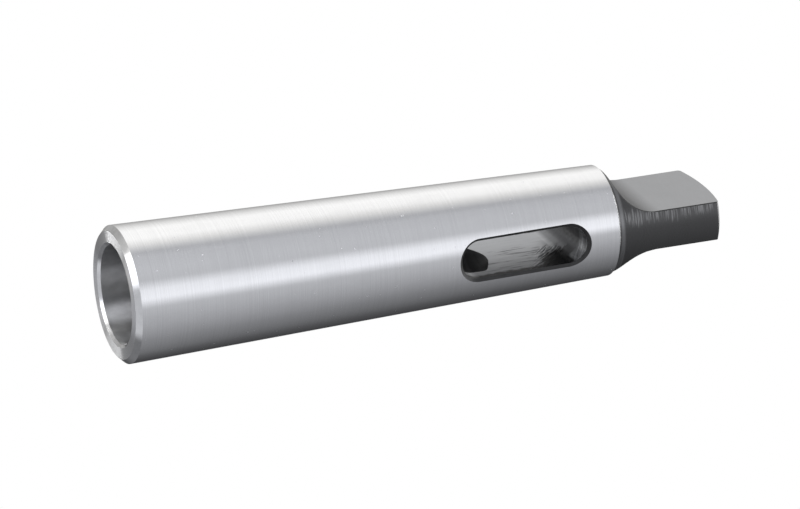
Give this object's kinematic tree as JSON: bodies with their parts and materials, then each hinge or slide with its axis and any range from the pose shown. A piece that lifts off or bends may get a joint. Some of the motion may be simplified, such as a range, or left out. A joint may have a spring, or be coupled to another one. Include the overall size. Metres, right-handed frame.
{
  "type": "taper sleeve",
  "caption": "One-piece steel reducing sleeve with a tapered outside, a tapered socket, a drift slot through both walls and a flat-sided tang.",
  "frame": {"origin": "centre of the mouth face, on the axis, where the sleeve stands on its mouth", "axes": "+Z along the axis from the mouth to the tang; the drift slot runs through along Y; the flats of the tang face +X and -X"},
  "size_m": [0.0246, 0.0246, 0.1125],
  "materials": {
    "steel": "bright cylindrically ground outside and mouth, blackened tang and slot, bored socket"
  },
  "bodies": {
    "root": {"sleeve": "steel"}
  },
  "joints": []
}
